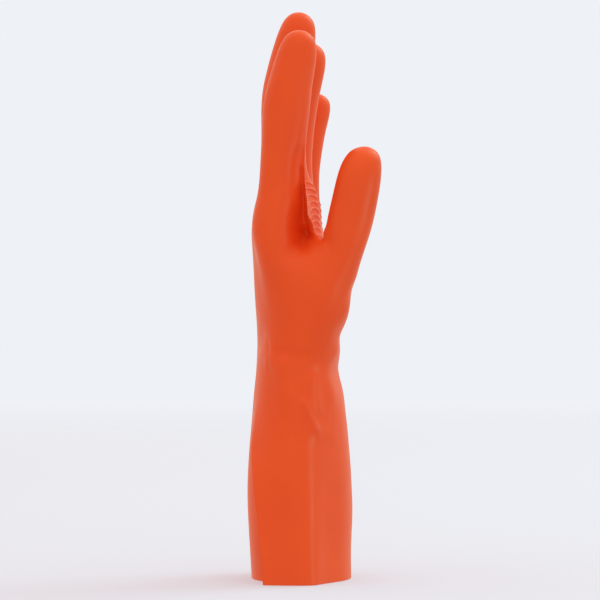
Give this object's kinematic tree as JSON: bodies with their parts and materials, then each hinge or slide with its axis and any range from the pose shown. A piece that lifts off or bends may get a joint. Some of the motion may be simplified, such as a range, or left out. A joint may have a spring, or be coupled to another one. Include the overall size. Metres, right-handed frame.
{
  "type": "chemical-resistant glove",
  "caption": "Left-hand dipped rubber glove with a long flared cuff, separate fingers and thumb, raised grip ribs across the palm and soft folds at the wrist.",
  "frame": {"origin": "middle of the cuff's mouth, where the forearm goes in", "axes": "+Z along the arm towards the fingertips, -Y towards the thumb side, +X towards the palm"},
  "size_m": [0.0744, 0.1073, 0.3183],
  "materials": {
    "rubber": "satin orange dipped rubber"
  },
  "bodies": {
    "root": {"glove_shell": "rubber"}
  },
  "joints": []
}
